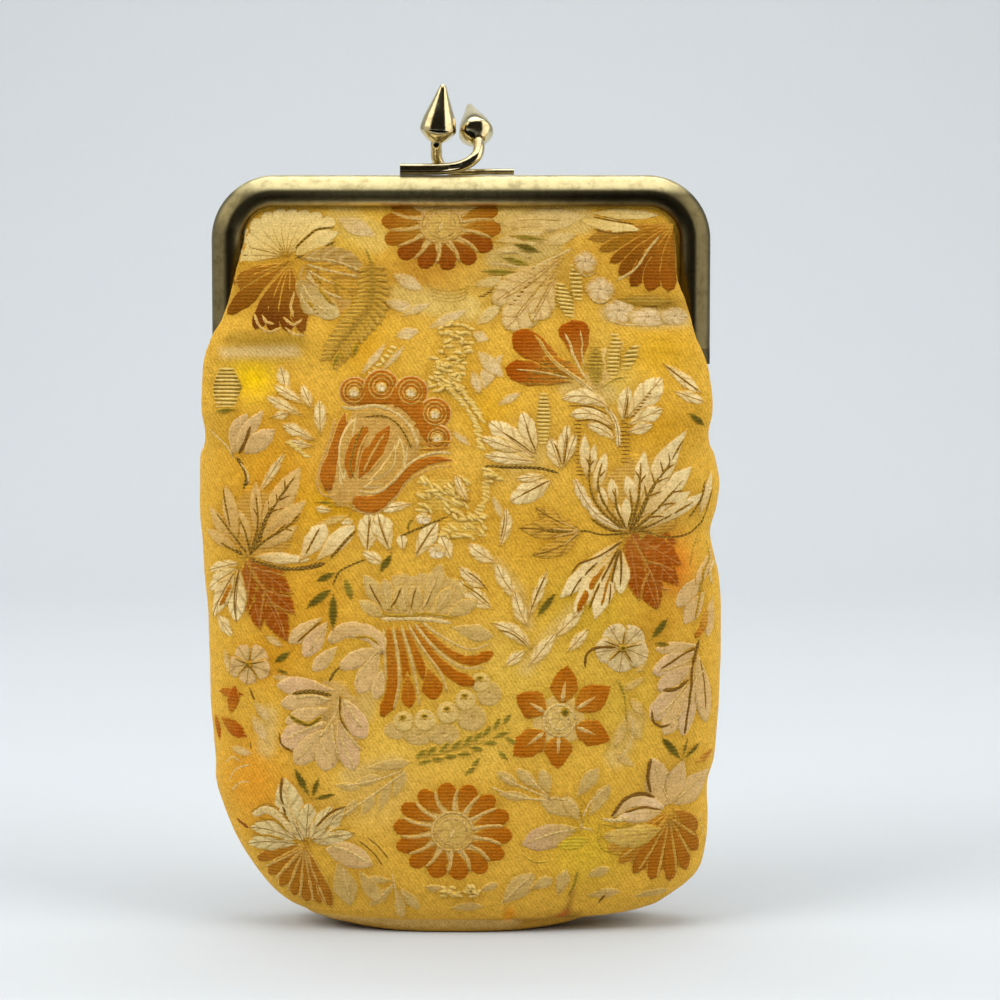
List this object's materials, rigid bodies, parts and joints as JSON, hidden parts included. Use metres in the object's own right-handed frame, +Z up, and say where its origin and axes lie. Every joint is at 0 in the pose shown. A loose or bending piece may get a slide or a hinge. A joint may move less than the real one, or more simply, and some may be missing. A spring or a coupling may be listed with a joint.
{
  "type": "kiss lock coin purse",
  "caption": "Small upright pouch of floral brocade gathered into a hinged brass frame, closed by pointed knobs that snap past each other.",
  "frame": {"origin": "middle of the flattened bottom that the purse stands on", "axes": "+Z up towards the clasp, -Y the front as pictured, +X to the right of the front"},
  "size_m": [0.0826, 0.0264, 0.133],
  "materials": {
    "brocade": "silky floral brocade, woven relief",
    "frame_brass": "aged, satin",
    "clasp_brass": "aged, polished"
  },
  "bodies": {
    "root": {"front_panel": "brocade", "back_panel": "brocade", "front_frame": "frame_brass", "back_frame": "frame_brass", "left_hinge_rivet": "frame_brass", "right_hinge_rivet": "frame_brass", "front_clasp": "clasp_brass", "back_clasp": "clasp_brass"}
  },
  "joints": []
}
